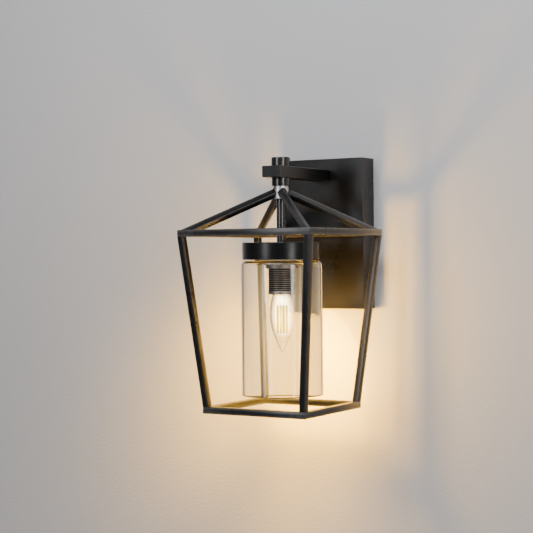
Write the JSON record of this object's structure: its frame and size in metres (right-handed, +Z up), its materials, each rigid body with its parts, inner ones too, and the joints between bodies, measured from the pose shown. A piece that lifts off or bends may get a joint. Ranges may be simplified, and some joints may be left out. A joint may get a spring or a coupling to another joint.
{
  "type": "outdoor wall lantern",
  "caption": "Wall lantern with a box backplate, a bar arm, an open tapered bar cage and a clear glass cylinder around a screw-in filament bulb.",
  "frame": {"origin": "centre of the mounting bracket's back face, on the wall, midway up the backplate", "axes": "+Y into the wall, +Z up, +X to the right as one faces the wall; the lantern hangs towards -Y"},
  "size_m": [0.21, 0.258, 0.359],
  "materials": {
    "black_finish": "satin",
    "black_turned": "gloss",
    "black_screws": "satin",
    "zinc_steel": "satin",
    "hub_metal": "satin",
    "holder_metal": "satin",
    "clear_glass": "polished",
    "bulb_glass": "polished",
    "stem_glass": "polished",
    "black_glass": "gloss",
    "silicone": "matt",
    "foam": "matt",
    "brass": "satin",
    "nickel": "polished",
    "filament": "glowing phosphor",
    "lead_metal": "satin",
    "black_insulation": "satin",
    "white_insulation": "satin",
    "green_insulation": "satin",
    "ground_green": "satin",
    "nut_plastic": "matt",
    "bushing_plastic": "matt",
    "circuit_board": "matt"
  },
  "bodies": {
    "lantern": {"backplate_shell": "black_finish", "wall_seal": "foam", "mounting_bracket": "zinc_steel", "canopy_screws": "black_screws", "ground_screw": "ground_green", "wire_nuts": "nut_plastic", "live_wire": "black_insulation", "neutral_wire": "white_insulation", "ground_wire": "green_insulation", "arm_tube": "black_finish", "arm_end_cap": "black_finish", "arm_root_block": "zinc_steel", "arm_clamp_plate": "zinc_steel", "arm_screws": "zinc_steel", "wire_bushing": "bushing_plastic", "finial": "black_turned", "collar": "black_turned", "hollow_nipple": "zinc_steel", "arm_lock_nut": "zinc_steel", "hub": "hub_metal", "stem_tube": "black_turned", "stem_nipple": "zinc_steel", "cap_nut": "zinc_steel", "shade_cap": "black_finish", "cap_plate": "black_finish", "socket_body": "holder_metal", "socket_screw_shell": "brass", "socket_contact": "brass", "socket_terminals": "brass", "top_rail_front": "black_finish", "bottom_rail_front": "black_finish", "top_rail_right": "black_finish", "bottom_rail_right": "black_finish", "top_rail_back": "black_finish", "bottom_rail_back": "black_finish", "top_rail_left": "black_finish", "bottom_rail_left": "black_finish", "post_front_left": "black_finish", "rafter_front_left": "black_finish", "post_front_right": "black_finish", "rafter_front_right": "black_finish", "post_back_right": "black_finish", "rafter_back_right": "black_finish", "post_back_left": "black_finish", "rafter_back_left": "black_finish"},
    "shade": {"glass_shade": "clear_glass", "shade_gasket": "silicone"},
    "shade_ring": {"shade_ring": "holder_metal"},
    "bulb": {"bulb_base": "nickel", "bulb_insulator": "black_glass", "bulb_contact": "nickel", "bulb_glass": "bulb_glass", "bulb_stem": "stem_glass", "bulb_filaments": "filament", "filament_leads": "lead_metal", "bulb_driver": "circuit_board"}
  },
  "joints": [
    {"name": "shade_drop", "type": "slide", "parent": "lantern", "child": "shade", "axis": [0, 0, -1], "range_m": [0, 0.215]},
    {"name": "ring_turn", "type": "hinge", "parent": "shade", "child": "shade_ring", "pos_m": [0, -0.153, -0.045], "axis": [0, 0, 1], "continuous": true},
    {"name": "bulb_out", "type": "slide", "parent": "lantern", "child": "bulb", "axis": [0, 0, -1], "range_m": [0, 0.2]}
  ]
}
